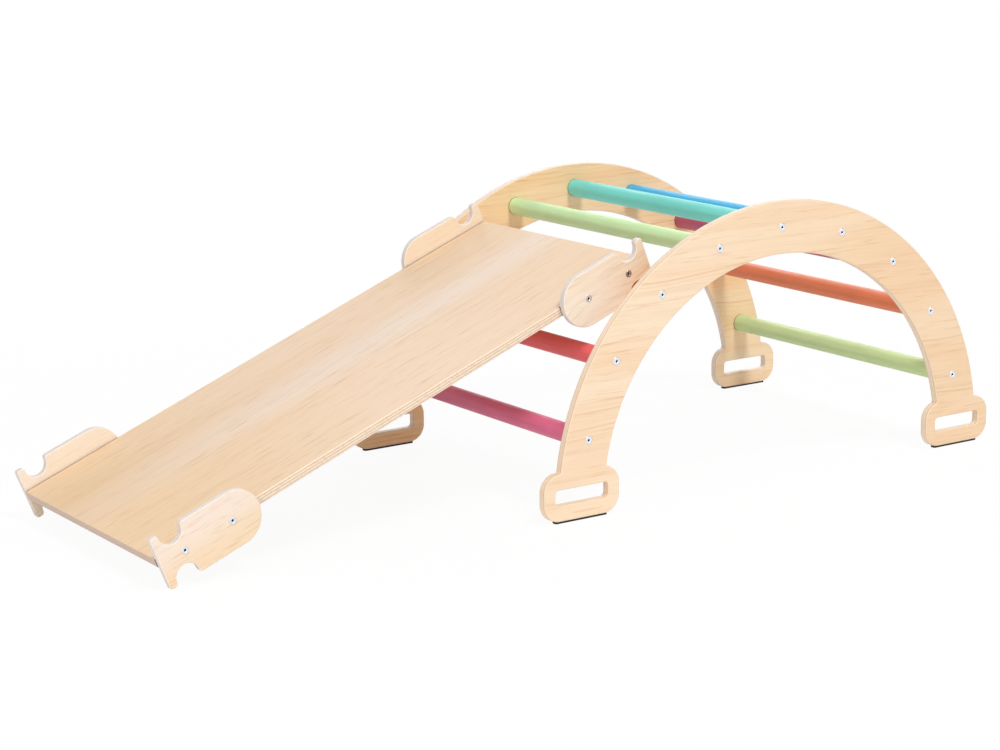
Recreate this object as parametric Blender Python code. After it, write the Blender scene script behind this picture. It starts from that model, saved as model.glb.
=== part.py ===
# A child's climbing arch, with a ramp board that hooks over one of its rungs.
#
# Two plywood side panels, each a half-round band on two feet, carry nine round rungs. The ramp is
# a plywood board between four brackets. The notches of its two upper brackets sit on a rung, and
# the horns of its two lower brackets stand on the floor.
#
# Metres, +Z up. +X runs from the ramp's foot to the arch's far feet, and +Y from the front side
# panel to the back one. The origin is on the floor, under the middle of the whole object.

import math

import bmesh
import bpy
from mathutils import Matrix, Vector

# Side panels
OVERALL_WIDTH = 0.626           # over the outer faces of both panels
PANEL_THICKNESS = 0.015
PANEL_EDGE_RADIUS = 0.0022      # rounding of every panel edge
ARCH_OUTER_RADIUS = 0.475
ARCH_BAND_WIDTH = 0.0925        # from the outer arc to the inner arc
ARCH_CENTRE_HEIGHT = 0.020      # of the centre that both arcs share, above the floor

# Feet, cut in one piece with each panel
FOOT_SPREAD = 0.855             # between the middles of a panel's two feet
FOOT_LENGTH = 0.154
FOOT_TOP_HEIGHT = 0.0845        # above the floor
FOOT_CORNER_RADIUS = 0.031
FOOT_FILLET_REACH = 0.004       # of the fillet where the band meets a foot's top
SLOT_HEIGHT = 0.0265
SLOT_CORNER_RADIUS = 0.007
SLOT_END_WALL = 0.0235          # wood left at each end of a foot's handle slot

# Rubber pads under the feet
PAD_THICKNESS = 0.003
PAD_END_INSET = 0.024           # from the foot's end to the pad's end
PAD_SIDE_INSET = 0.0015         # from the panel's face to the pad's side
PAD_EDGE_RADIUS = 0.0006

# Rungs
RUNG_COUNT = 9
RUNG_DIAMETER = 0.033
RUNG_FIRST_ANGLE = math.radians(15.4)   # of the first and last rung, above the arcs' centre
RUNG_SOCKET_DEPTH = 0.005       # of the blind socket in each panel that takes a rung's end

# Screws through the panels into the rungs' ends
RUNG_SCREW_HEAD = 0.014         # diameter of the countersunk head
RUNG_SCREW_RIM = 0.0006         # straight rim of the head
RUNG_SCREW_DIAMETER = 0.007
RUNG_SCREW_LENGTH = 0.050
RUNG_SCREW_SOCKET = 0.0046      # over the corners of the head's hexagon socket
RUNG_SCREW_SOCKET_DEPTH = 0.0026

# Ramp board
BOARD_LENGTH = 1.000
BOARD_THICKNESS = 0.016
BOARD_EDGE_RADIUS = 0.0016
RAMP_SIDE_GAP = 0.043           # from a bracket's outer face to the panel beside it
HOOK_RUNG = 3                   # the rung that carries the ramp, counted from the ramp's side
HOOK_LEAN = math.radians(40)    # of the line from the notch's centre to the rung's axis, off upright

# Ramp brackets
BRACKET_LENGTH = 0.187
BRACKET_HEIGHT = 0.092
BRACKET_THICKNESS = 0.012
BRACKET_EDGE_RADIUS = 0.0018
HORN_WIDTH = 0.0148             # of the horn between a bracket's end and its notch
HORN_CORNER_RADIUS = 0.005
NOTCH_PLAY = 0.0033             # by which the notch's radius passes the rung's radius
NOTCH_LIP_DEPTH = 0.0063        # straight part of the notch, above its half circle
NOTCH_MOUTH_RADIUS = 0.006

# Screws through the brackets into the board's side edges
RAMP_SCREW_HEAD = 0.012
RAMP_SCREW_RIM = 0.0005
RAMP_SCREW_DIAMETER = 0.006
RAMP_SCREW_LENGTH = 0.050
RAMP_SCREW_SOCKET = 0.0046
RAMP_SCREW_SOCKET_DEPTH = 0.0024
RAMP_SCREW_FROM_END = 0.0461    # from the bracket's notched end to the first screw
RAMP_SCREW_SPACING = 0.0892

# Gap kept between pieces that touch, and the overrun of a cut
CLEARANCE = 0.0003
CUT_OVERRUN = 0.002

# How finely curves are cut into flats
OUTER_ARC_STEPS = 24            # for half of the arch
INNER_ARC_STEPS = 20
CORNER_STEPS = 5
SMALL_CORNER_STEPS = 3
FILLET_STEPS = 3
ROUND_END_STEPS = 14
NOTCH_STEPS = 10
RUNG_STEPS = 20
FASTENER_STEPS = 12
HEXAGON_STEPS = 6
EDGE_STEPS = 1                  # flats over each rounded edge of a panel or bracket
BEVEL_SEGMENTS = 2
BISECTIONS = 48
SMOOTH_ANGLE = math.radians(35)

QUARTER = math.pi / 2
HALF = math.pi

# Finishes: sRGB colour, roughness and metallic value
PANEL_WOOD = ((0.984, 0.871, 0.745), 0.62, 0.0)
BOARD_WOOD = ((0.945, 0.843, 0.710), 0.60, 0.0)
BRACKET_WOOD = ((0.976, 0.855, 0.729), 0.62, 0.0)
RUBBER = ((0.075, 0.072, 0.070), 0.85, 0.0)
SCREW_STEEL = ((0.840, 0.850, 0.870), 0.32, 1.0)
PAINT_ROUGHNESS = 0.55
RUNG_PAINTS = (
    (0.855, 0.424, 0.573),      # pink
    (0.863, 0.376, 0.384),      # red
    (0.890, 0.520, 0.300),      # orange, under the ramp's hooks
    (0.780, 0.862, 0.616),      # light green
    (0.439, 0.745, 0.698),      # teal
    (0.290, 0.627, 0.878),      # blue
    (0.588, 0.275, 0.376),      # plum
    (0.839, 0.451, 0.306),      # orange
    (0.745, 0.830, 0.580),      # light green
)

# Sizes worked out from the ones above
arch_inner_radius = ARCH_OUTER_RADIUS - ARCH_BAND_WIDTH
rung_circle_radius = ARCH_OUTER_RADIUS - ARCH_BAND_WIDTH / 2
rung_radius = RUNG_DIAMETER / 2
panel_inner_face = OVERALL_WIDTH / 2 - PANEL_THICKNESS
foot_middle = FOOT_SPREAD / 2
foot_half = FOOT_LENGTH / 2
foot_bottom = PAD_THICKNESS + CLEARANCE
foot_corner = min(FOOT_CORNER_RADIUS, foot_half, (FOOT_TOP_HEIGHT - foot_bottom) / 2)
bracket_outer_face = panel_inner_face - RAMP_SIDE_GAP
board_half_width = bracket_outer_face - BRACKET_THICKNESS - CLEARANCE
bracket_half = BRACKET_HEIGHT / 2
notch_radius = rung_radius + NOTCH_PLAY
notch_from_end = HORN_WIDTH + notch_radius
notch_offset = bracket_half - NOTCH_LIP_DEPTH
horn_corner = min(HORN_CORNER_RADIUS, HORN_WIDTH / 2)
hook_offset = NOTCH_PLAY - CLEARANCE


def circle(radius, steps, centre=(0.0, 0.0)):
    # A ring of (x, z) points round a centre.
    turns = [2 * HALF * step / steps for step in range(steps)]
    return [(centre[0] + radius * math.cos(turn), centre[1] + radius * math.sin(turn)) for turn in turns]


def arc(centre, radius, start, end, steps):
    # Points (x, z) along an arc, with both ends.
    turns = [start + (end - start) * step / steps for step in range(steps + 1)]
    return [(centre[0] + radius * math.cos(turn), centre[1] + radius * math.sin(turn)) for turn in turns]


def fillet(before, corner, after):
    # The points between two ends of a smooth curve that is drawn towards the corner.
    points = []
    for step in range(1, FILLET_STEPS):
        share = step / FILLET_STEPS
        rest = 1 - share
        points.append(tuple(rest * rest * p + 2 * rest * share * q + share * share * r
                            for p, q, r in zip(before, corner, after)))
    return points


def anticlockwise(outline):
    # The same outline, turned round if it runs clockwise.
    area = sum(p[0] * q[1] - q[0] * p[1] for p, q in zip(outline, outline[1:] + outline[:1]))
    return outline if area > 0 else outline[::-1]


def offset(outline, distance):
    # An anticlockwise outline moved outwards, each point along the bisector of its two sides.
    moved = []
    for before, here, after in zip(outline[-1:] + outline[:-1], outline, outline[1:] + outline[:1]):
        first = (Vector(here) - Vector(before)).normalized()
        second = (Vector(after) - Vector(here)).normalized()
        normals = Vector((first.y, -first.x)), Vector((second.y, -second.x))
        bisector = (normals[0] + normals[1]) / (1 + normals[0].dot(normals[1]))
        moved.append(tuple(Vector(here) + bisector * distance))
    return moved


def rounded_rim(outline, thickness, edge_radius, into_wood):
    # Rings down the wall of a cut plate, from its front face to its back face, with rounded edges.
    # The face's ring lies back from the wall: inwards on an outer outline (-1), outwards on a slot (1).
    flats = []
    for step in range(EDGE_STEPS + 1):
        turn = QUARTER * step / EDGE_STEPS
        flats.append((edge_radius * (1 - math.sin(turn)), edge_radius * (1 - math.cos(turn))))
    levels = flats + [(back, thickness - depth) for back, depth in reversed(flats)]
    return [[(x, depth, z) for x, z in offset(outline, into_wood * back)] for back, depth in levels]


def stepped_hole(profile, steps, centre=(0.0, 0.0)):
    # Rings down a round hole or along a round pin, from a profile of (radius, depth) pairs.
    return [[(x, depth, z) for x, z in circle(radius, steps, centre)] for radius, depth in profile]


def add_wall(bm, rings):
    # Strips of faces between rings of equally many points. Gives the rings' vertices.
    loops = [[bm.verts.new(point) for point in ring] for ring in rings]
    for upper, lower in zip(loops, loops[1:]):
        for i in range(len(upper)):
            j = (i + 1) % len(upper)
            bm.faces.new((upper[i], upper[j], lower[j], lower[i]))
    return loops


def fill_between(bm, loops):
    # A flat face inside the first loop, open inside the others.
    edges = []
    for loop in loops:
        for here, after in zip(loop, loop[1:] + loop[:1]):
            edges.append(bm.edges.get((here, after)) or bm.edges.new((here, after)))
    bmesh.ops.triangle_fill(bm, use_beauty=True, edges=edges)


def finish_mesh(name, bm):
    # A mesh with its faces pointing out, smooth except at its sharp edges.
    bmesh.ops.recalc_face_normals(bm, faces=bm.faces)
    mesh = bpy.data.meshes.new(name)
    bm.to_mesh(mesh)
    bm.free()
    mesh.shade_smooth()
    mesh.set_sharp_from_angle(angle=SMOOTH_ANGLE)
    return mesh


def plate_mesh(name, rims):
    # A plate from the rings of its outline, its slots and its holes. Its front face is at y = 0.
    bm = bmesh.new()
    walls = [add_wall(bm, rings) for rings in rims]
    fill_between(bm, [loops[0] for loops in walls])
    fill_between(bm, [loops[-1] for loops in walls])
    return finish_mesh(name, bm)


def finish(name, look):
    # A Principled material of one colour.
    colour, roughness, metallic = look
    material = bpy.data.materials.new(name + "_finish")
    material.use_nodes = True
    shader = material.node_tree.nodes["Principled BSDF"]
    linear = [((c + 0.055) / 1.055) ** 2.4 for c in colour]
    shader.inputs["Base Color"].default_value = (*linear, 1.0)
    shader.inputs["Roughness"].default_value = roughness
    shader.inputs["Metallic"].default_value = metallic
    return material


def add_piece(name, mesh, look, parent, location=(0.0, 0.0, 0.0), turn=None):
    # A named object of its own finish, placed under its parent. Turn is the axis of a half turn.
    piece = bpy.data.objects.new(name, mesh)
    bpy.context.collection.objects.link(piece)
    if not mesh.materials:
        mesh.materials.append(None)
    piece.material_slots[0].link = "OBJECT"
    piece.material_slots[0].material = finish(name, look)
    piece.parent = parent
    piece.location = location
    if turn:
        piece.rotation_euler = Matrix.Rotation(HALF, 3, turn).to_euler()
    return piece


def add_empty(name, location, tilt=0.0):
    # A point that pieces are placed from, tilted about Y.
    empty = bpy.data.objects.new(name, None)
    bpy.context.collection.objects.link(empty)
    empty.location = location
    empty.rotation_euler = (0.0, tilt, 0.0)
    return empty


def box_mesh(name, low, high):
    bm = bmesh.new()
    bmesh.ops.create_cube(bm, size=1.0)
    size = Vector(high) - Vector(low)
    bmesh.ops.scale(bm, vec=size, verts=bm.verts)
    bmesh.ops.translate(bm, vec=Vector(low) + size / 2, verts=bm.verts)
    return finish_mesh(name, bm)


def bevel_edges(piece, width):
    bevel = piece.modifiers.new("rounded_edges", "BEVEL")
    bevel.width = width
    bevel.segments = BEVEL_SEGMENTS
    bevel.limit_method = "ANGLE"


def foot_top(x):
    # Height of a foot's upper outline at x, with its rounded corners.
    past_flat = abs(x - foot_middle) - (foot_half - foot_corner)
    if past_flat <= 0:
        return FOOT_TOP_HEIGHT
    drop = foot_corner - math.sqrt(max(foot_corner ** 2 - past_flat ** 2, 0.0))
    return FOOT_TOP_HEIGHT - drop


def band_meets_foot(radius, low, high):
    # The x where an arc of the band comes down to the top of the foot.
    for _ in range(BISECTIONS):
        x = (low + high) / 2
        arc_height = ARCH_CENTRE_HEIGHT + math.sqrt(max(radius ** 2 - x ** 2, 0.0))
        if arc_height > foot_top(x):
            low = x
        else:
            high = x
    return low


def shoulder(radius, low, high, side):
    # Where the band meets the foot: the arc's last angle, the fillet, and the corner's first angle.
    # Side is 1 on the outer arc and -1 on the inner arc.
    x = band_meets_foot(radius, low, high)
    corner = (x, foot_top(x))
    end_of_top = foot_middle + side * foot_half
    reach = min(FOOT_FILLET_REACH, abs(end_of_top - x) / 2)
    arc_turn = math.atan2(corner[1] - ARCH_CENTRE_HEIGHT, x) + reach / radius
    arc_end = arc((0.0, ARCH_CENTRE_HEIGHT), radius, arc_turn, arc_turn, 1)[0]
    top_x = x + side * reach
    past_flat = side * (top_x - foot_middle) - (foot_half - foot_corner)
    corner_turn = math.acos(min(max(past_flat / foot_corner, 0.0), 1.0))
    return arc_turn, fillet(arc_end, corner, (top_x, foot_top(top_x))), (top_x, foot_top(top_x)), corner_turn


def panel_outline():
    # Half of the panel, clockwise from its top round the foot at +X, and then the mirrored half.
    centre = (0.0, ARCH_CENTRE_HEIGHT)
    outer_end = min(ARCH_OUTER_RADIUS, foot_middle + foot_half)
    outer_turn, outer_fillet, outer_top, outer_corner = shoulder(
        ARCH_OUTER_RADIUS, foot_middle, outer_end, 1)
    inner_end = min(arch_inner_radius, foot_middle)
    inner_turn, inner_fillet, inner_top, inner_corner = shoulder(
        arch_inner_radius, foot_middle - foot_half, inner_end, -1)
    left = foot_middle - foot_half + foot_corner
    right = foot_middle + foot_half - foot_corner
    upper = FOOT_TOP_HEIGHT - foot_corner
    lower = foot_bottom + foot_corner

    half = arc(centre, ARCH_OUTER_RADIUS, QUARTER, outer_turn, OUTER_ARC_STEPS)
    half += outer_fillet + [outer_top]
    half += arc((right, upper), foot_corner, outer_corner, 0.0, CORNER_STEPS)
    half += arc((right, lower), foot_corner, 0.0, -QUARTER, CORNER_STEPS)
    half += arc((left, lower), foot_corner, -QUARTER, -HALF, CORNER_STEPS)
    half += arc((left, upper), foot_corner, HALF, HALF - inner_corner, CORNER_STEPS)
    half += [inner_top] + inner_fillet[::-1]
    half += arc(centre, arch_inner_radius, inner_turn, QUARTER, INNER_ARC_STEPS)
    mirrored = [(-x, z) for x, z in reversed(half[1:-1])]
    return anticlockwise(without_doubles(half + mirrored))


def without_doubles(outline):
    # An outline without points that lie on the point before them.
    kept = []
    for point in outline:
        if not kept or math.dist(point, kept[-1]) > CLEARANCE:
            kept.append(point)
    return kept


def rounded_rectangle(middle, half_length, half_height, radius):
    # A rectangle's outline with round corners, anticlockwise.
    radius = min(radius, half_length, half_height)
    outline = []
    for turn, x_side, z_side in ((0.0, 1, 1), (QUARTER, -1, 1), (HALF, -1, -1), (-QUARTER, 1, -1)):
        centre = (middle[0] + x_side * (half_length - radius), middle[1] + z_side * (half_height - radius))
        outline += arc(centre, radius, turn, turn + QUARTER, SMALL_CORNER_STEPS)
    return outline


def rung_places():
    # The rungs' axes as (x, z) about the arch's middle, from the ramp's side over the top.
    step = (HALF - 2 * RUNG_FIRST_ANGLE) / (RUNG_COUNT - 1)
    turns = [HALF - RUNG_FIRST_ANGLE - step * number for number in range(RUNG_COUNT)]
    return [(rung_circle_radius * math.cos(turn), ARCH_CENTRE_HEIGHT + rung_circle_radius * math.sin(turn))
            for turn in turns]


def head_profile(head, rim, shank, gap=0.0):
    # A countersunk head of 90 degrees and the start of its shank, as (radius, depth) pairs.
    # Head and shank are diameters, and the gap widens the profile into that of a hole.
    depth = rim + (head - shank) / 2
    return [(head / 2 + gap, 0.0), (head / 2 + gap, rim), (shank / 2 + gap, depth)]


def panel_mesh():
    # A side panel about the arch's middle, outer face at y = 0 and inner face at the thickness.
    socket_floor = PANEL_THICKNESS - RUNG_SOCKET_DEPTH
    socket = rung_radius + CLEARANCE
    profile = head_profile(RUNG_SCREW_HEAD, RUNG_SCREW_RIM, RUNG_SCREW_DIAMETER, CLEARANCE)
    profile += [(profile[-1][0], socket_floor), (socket, socket_floor), (socket, PANEL_THICKNESS)]
    slot_height = (foot_bottom + FOOT_TOP_HEIGHT) / 2
    rims = [rounded_rim(panel_outline(), PANEL_THICKNESS, PANEL_EDGE_RADIUS, -1)]
    for side in (1, -1):
        slot = rounded_rectangle((side * foot_middle, slot_height), foot_half - SLOT_END_WALL,
                                 SLOT_HEIGHT / 2, SLOT_CORNER_RADIUS)
        rims.append(rounded_rim(slot, PANEL_THICKNESS, PANEL_EDGE_RADIUS, 1))
    rims += [stepped_hole(profile, RUNG_STEPS, place) for place in rung_places()]
    return plate_mesh("side_panel", rims)


def rung_mesh():
    # A rung along Y about its own middle, with a blind bore for a screw in each end.
    half_length = panel_inner_face + RUNG_SOCKET_DEPTH - CLEARANCE
    bore_floor = OVERALL_WIDTH / 2 - RUNG_SCREW_LENGTH - CLEARANCE
    bore = RUNG_SCREW_DIAMETER / 2 + CLEARANCE
    bm = bmesh.new()
    skin = add_wall(bm, stepped_hole([(rung_radius, -half_length), (rung_radius, half_length)], RUNG_STEPS))
    for side, end_loop in ((-1, skin[0]), (1, skin[1])):
        walls = add_wall(bm, stepped_hole([(bore, side * half_length), (bore, side * bore_floor)],
                                          FASTENER_STEPS))
        fill_between(bm, [end_loop, walls[0]])
        bm.faces.new(walls[1])
    return finish_mesh("rung", bm)


def screw_mesh(name, profile, length, socket_width, socket_depth):
    # A countersunk screw along +Y from a head at y = 0, with a hexagon socket in the head.
    bm = bmesh.new()
    walls = add_wall(bm, stepped_hole(profile + [(profile[-1][0], length)], FASTENER_STEPS))
    bm.faces.new(walls[-1])
    socket_rings = [(socket_width / 2, 0.0), (socket_width / 2, socket_depth)]
    socket = add_wall(bm, stepped_hole(socket_rings, HEXAGON_STEPS))
    fill_between(bm, [walls[0], socket[0]])
    bm.faces.new(socket[1])
    return finish_mesh(name, bm)


def bracket_outline():
    # Along x from the notched end at 0 to the round end. The lower half mirrors the upper half.
    mouth = min(NOTCH_MOUTH_RADIUS, NOTCH_LIP_DEPTH)
    near, far = HORN_WIDTH, HORN_WIDTH + 2 * notch_radius
    round_centre = (BRACKET_LENGTH - bracket_half, 0.0)
    horn_mouth = min(mouth, HORN_WIDTH - horn_corner)
    half = arc(round_centre, bracket_half, 0.0, QUARTER, ROUND_END_STEPS // 2)
    half += arc((far + mouth, bracket_half - mouth), mouth, QUARTER, HALF, SMALL_CORNER_STEPS)
    half += arc((notch_from_end, notch_offset), notch_radius, 0.0, -HALF, NOTCH_STEPS)
    half += arc((near - horn_mouth, bracket_half - horn_mouth), horn_mouth, 0.0, QUARTER, SMALL_CORNER_STEPS)
    half += arc((horn_corner, bracket_half - horn_corner), horn_corner, QUARTER, HALF, SMALL_CORNER_STEPS)
    mirrored = [(x, -z) for x, z in reversed(half[1:])]
    return anticlockwise(without_doubles(half + mirrored))


def ramp_screw_places():
    # A bracket's two screws along x, both on the board's middle plane.
    return [RAMP_SCREW_FROM_END, RAMP_SCREW_FROM_END + RAMP_SCREW_SPACING]


def bracket_mesh():
    # A bracket with its outer face at y = 0, its notched end at x = 0 and the board's plane at z = 0.
    profile = head_profile(RAMP_SCREW_HEAD, RAMP_SCREW_RIM, RAMP_SCREW_DIAMETER, CLEARANCE)
    profile.append((profile[-1][0], BRACKET_THICKNESS))
    rims = [rounded_rim(bracket_outline(), BRACKET_THICKNESS, BRACKET_EDGE_RADIUS, -1)]
    rims += [stepped_hole(profile, FASTENER_STEPS, (x, 0.0)) for x in ramp_screw_places()]
    return plate_mesh("ramp_bracket", rims)


def ramp_tilt():
    # The slope at which the upper notches sit on the hook rung while the lower horns touch the floor.
    # Heights along the ramp give a sine and a cosine term, a * sin + b * cos = rise.
    rung_height = rung_places()[HOOK_RUNG - 1][1]
    rise = rung_height - hook_offset * math.cos(HOOK_LEAN) - horn_corner
    a = BOARD_LENGTH - notch_from_end - horn_corner
    b = bracket_half - horn_corner - notch_offset
    return math.asin(rise / math.hypot(a, b)) - math.atan2(b, a)


def rung_on_ramp(tilt):
    # The hook rung's axis in the ramp's frame, which starts at the lower end of the board's middle
    # plane, x up the slope. The ramp has slid down until the notch's upper side caught the rung.
    x = BOARD_LENGTH - notch_from_end + hook_offset * math.sin(HOOK_LEAN + tilt)
    z = -notch_offset + hook_offset * math.cos(HOOK_LEAN + tilt)
    return x, z


def middle_shift(tilt):
    # The arch's middle in x, so that the whole object is centred on the origin.
    axis_x, axis_z = rung_on_ramp(tilt)
    rung_x = rung_places()[HOOK_RUNG - 1][0]
    ramp_start = rung_x - axis_x * math.cos(tilt) + axis_z * math.sin(tilt)
    horn_centre = horn_corner * math.cos(tilt) - (bracket_half - horn_corner) * math.sin(tilt)
    lowest = ramp_start + horn_centre - horn_corner
    highest = foot_middle + foot_half
    return -(lowest + highest) / 2


def add_arch(shift):
    arch = add_empty("arch", (shift, 0.0, 0.0))
    outer_face = OVERALL_WIDTH / 2
    panel = panel_mesh()
    screw = screw_mesh("rung_screw", head_profile(RUNG_SCREW_HEAD, RUNG_SCREW_RIM, RUNG_SCREW_DIAMETER),
                       RUNG_SCREW_LENGTH, RUNG_SCREW_SOCKET, RUNG_SCREW_SOCKET_DEPTH)
    for side, y, turn in (("front", -outer_face, None), ("back", outer_face, "Z")):
        add_piece("side_panel_" + side, panel, PANEL_WOOD, arch, (0.0, y, 0.0), turn)
        for number, (x, z) in enumerate(rung_places(), start=1):
            add_piece(f"rung_screw_{side}_{number}", screw, SCREW_STEEL, arch, (x, y, z), turn)

    rung = rung_mesh()
    for number, (x, z) in enumerate(rung_places(), start=1):
        paint = (RUNG_PAINTS[(number - 1) % len(RUNG_PAINTS)], PAINT_ROUGHNESS, 0.0)
        add_piece(f"rung_{number}", rung, paint, arch, (x, 0.0, z))

    half_length = foot_half - PAD_END_INSET
    half_width = PANEL_THICKNESS / 2 - PAD_SIDE_INSET
    pad = box_mesh("foot_pad", (-half_length, -half_width, 0.0), (half_length, half_width, PAD_THICKNESS))
    middle = outer_face - PANEL_THICKNESS / 2
    for side, y in (("front", -middle), ("back", middle)):
        for end, x in (("ramp_end", -foot_middle), ("far_end", foot_middle)):
            piece = add_piece(f"foot_pad_{side}_{end}", pad, RUBBER, arch, (x, y, 0.0))
            bevel_edges(piece, PAD_EDGE_RADIUS)


def screw_cutter(ramp, axis_x, axis_z):
    # The bores in the board's two side edges, for every bracket's screws.
    radius = RAMP_SCREW_DIAMETER / 2 + CLEARANCE
    floor = bracket_outer_face - RAMP_SCREW_LENGTH - CLEARANCE
    bm = bmesh.new()
    for side in (-1, 1):
        rings = [(radius, side * (board_half_width + CUT_OVERRUN)), (radius, side * floor)]
        for x in ramp_screw_places():
            for along in (x, BOARD_LENGTH - x):
                walls = add_wall(bm, stepped_hole(rings, FASTENER_STEPS, (along - axis_x, -axis_z)))
                bm.faces.new(walls[0])
                bm.faces.new(walls[1])
    cutter = bpy.data.objects.new("screw_bores", finish_mesh("screw_bores", bm))
    bpy.context.collection.objects.link(cutter)
    cutter.parent = ramp
    cutter.hide_render = True
    cutter.display_type = "WIRE"
    return cutter


def add_board(ramp, axis_x, axis_z):
    half_thickness = BOARD_THICKNESS / 2
    low = (-axis_x, -board_half_width, -axis_z - half_thickness)
    high = (BOARD_LENGTH - axis_x, board_half_width, -axis_z + half_thickness)
    board = add_piece("ramp_board", box_mesh("ramp_board", low, high), BOARD_WOOD, ramp)
    bevel_edges(board, BOARD_EDGE_RADIUS)
    bores = board.modifiers.new("screw_bores", "BOOLEAN")
    bores.operation = "DIFFERENCE"
    bores.solver = "EXACT"
    bores.object = screw_cutter(ramp, axis_x, axis_z)


def add_ramp(shift, tilt):
    # The ramp's pieces hang on an empty on the hook rung's axis, about which the ramp swings.
    rung_x, rung_z = rung_places()[HOOK_RUNG - 1]
    ramp = add_empty("ramp", (shift + rung_x, 0.0, rung_z), -tilt)
    axis_x, axis_z = rung_on_ramp(tilt)
    add_board(ramp, axis_x, axis_z)

    bracket = bracket_mesh()
    screw = screw_mesh("ramp_screw", head_profile(RAMP_SCREW_HEAD, RAMP_SCREW_RIM, RAMP_SCREW_DIAMETER),
                       RAMP_SCREW_LENGTH, RAMP_SCREW_SOCKET, RAMP_SCREW_SOCKET_DEPTH)
    # A bracket faces the other side when it is turned about X, the other end about Y, both about Z.
    for end, start, along, side, y, turn in (
            ("lower", 0.0, 1, "front", -bracket_outer_face, None),
            ("lower", 0.0, 1, "back", bracket_outer_face, "X"),
            ("upper", BOARD_LENGTH, -1, "front", -bracket_outer_face, "Y"),
            ("upper", BOARD_LENGTH, -1, "back", bracket_outer_face, "Z")):
        place = (start - axis_x, y, -axis_z)
        add_piece(f"ramp_bracket_{end}_{side}", bracket, BRACKET_WOOD, ramp, place, turn)
        for number, x in enumerate(ramp_screw_places(), start=1):
            place = (start + along * x - axis_x, y, -axis_z)
            add_piece(f"ramp_screw_{end}_{side}_{number}", screw, SCREW_STEEL, ramp, place, turn)


def main():
    for old in list(bpy.data.objects):
        bpy.data.objects.remove(old)
    tilt = ramp_tilt()
    shift = middle_shift(tilt)
    add_arch(shift)
    add_ramp(shift, tilt)
    bpy.context.view_layer.update()


main()
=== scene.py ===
import math

import bpy
import numpy as np
from mathutils import Matrix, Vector
from mathutils.geometry import tessellate_polygon


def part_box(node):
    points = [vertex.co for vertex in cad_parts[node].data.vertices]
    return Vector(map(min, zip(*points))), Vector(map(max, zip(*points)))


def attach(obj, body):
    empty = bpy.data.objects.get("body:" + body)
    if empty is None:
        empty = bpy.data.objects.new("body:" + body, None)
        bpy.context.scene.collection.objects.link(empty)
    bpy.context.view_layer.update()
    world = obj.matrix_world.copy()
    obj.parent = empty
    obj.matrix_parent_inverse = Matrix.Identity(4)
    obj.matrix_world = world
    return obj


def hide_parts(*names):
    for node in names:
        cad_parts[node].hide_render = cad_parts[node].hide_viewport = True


# The finish of a child's climbing arch and its ramp: plywood, painted rungs, zinc screws, rubber pads.
# Metres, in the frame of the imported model. Every surface is worked out with numpy.

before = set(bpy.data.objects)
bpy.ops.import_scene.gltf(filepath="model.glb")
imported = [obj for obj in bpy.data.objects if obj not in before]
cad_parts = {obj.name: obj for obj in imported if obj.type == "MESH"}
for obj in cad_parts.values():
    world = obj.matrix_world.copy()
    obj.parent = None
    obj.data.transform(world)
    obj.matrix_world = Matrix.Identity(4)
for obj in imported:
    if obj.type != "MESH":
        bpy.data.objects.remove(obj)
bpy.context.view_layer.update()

quarter = math.pi / 2
half = math.pi
fullTurn = 2 * math.pi
mm = 0.001


def middleOf(node):
    # The middle of a node's box.
    low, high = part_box(node)
    return np.array((low + high) / 2)


def sizeOf(node):
    # The lengths of a node's box along x, y and z.
    low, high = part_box(node)
    return np.array(high - low)


# Where the frame says things are

archMiddle = middleOf("side_panel_front")[0]
outerFace = -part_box("side_panel_front")[0].y
panelThickness = sizeOf("side_panel_front")[1]
innerFace = outerFace - panelThickness       # from the middle plane to the panels' inner faces
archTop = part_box("side_panel_front")[1].z
firstRampScrew = middleOf("ramp_screw_lower_front_1")
lastRampScrew = middleOf("ramp_screw_upper_front_1")
bracketOuterFace = -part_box("ramp_bracket_lower_front")[0].y
bracketThickness = sizeOf("ramp_bracket_lower_front")[1]
boardHalfWidth = sizeOf("ramp_board")[1] / 2
screwSpan = lastRampScrew - firstRampScrew
slope = math.atan2(screwSpan[2], screwSpan[0])
upSlope = np.array((math.cos(slope), 0.0, math.sin(slope)))
squareToSlope = np.array((-math.sin(slope), 0.0, math.cos(slope)))
fitGap = 0.3 * mm                            # between pieces that touch
holeSteps = 48                               # round a hole that shows
boreSteps = 24                               # round one that doesn't
samePlace = 1e-6                             # points nearer than this are one


# Surfaces. A shell is a closed surface in the making: its points, and faces whose corners carry their
# own normals and a mark between 0 and 1 that a material can read. A plate lies across y: its front
# face looks down y, and depth runs up y.

def newShell():
    # A shell with nothing in it yet.
    return {"points": [], "count": 0, "faces": [], "normals": [], "marks": []}


def addPoints(shell, points):
    # Gives the points' indexes, laid out as the points are.
    indexes = shell["count"] + np.arange(points.size // 3).reshape(points.shape[:-1])
    shell["points"].append(points.reshape(-1, 3))
    shell["count"] += indexes.size
    return indexes


def unit(vectors):
    # Each vector over its own length.
    return vectors / np.maximum(np.linalg.norm(vectors, axis=-1, keepdims=True), 1e-12)


def faceNormals(points, faces):
    # The cross product of two of a face's diagonals or sides.
    corners = points[faces]
    return unit(np.cross(corners[:, 2] - corners[:, 0], corners[:, -1] - corners[:, 1]))


def addFaces(shell, faces, normals, mark=0.0, flat=False):
    # A face is wound to agree with its corners' normals. A flat one then takes its own normal.
    own = faceNormals(np.concatenate(shell["points"]), faces)
    turned = np.einsum("ij,ij->i", own, normals.mean(axis=1)) < 0
    faces = np.where(turned[:, None], faces[:, ::-1], faces)
    normals = np.where(turned[:, None, None], normals[:, ::-1], normals)
    if flat:
        own[turned] *= -1
        normals = np.broadcast_to(own[:, None], normals.shape)
    shell["faces"].append(faces)
    shell["normals"].append(normals)
    shell["marks"].append(np.full(faces.shape, mark))


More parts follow.
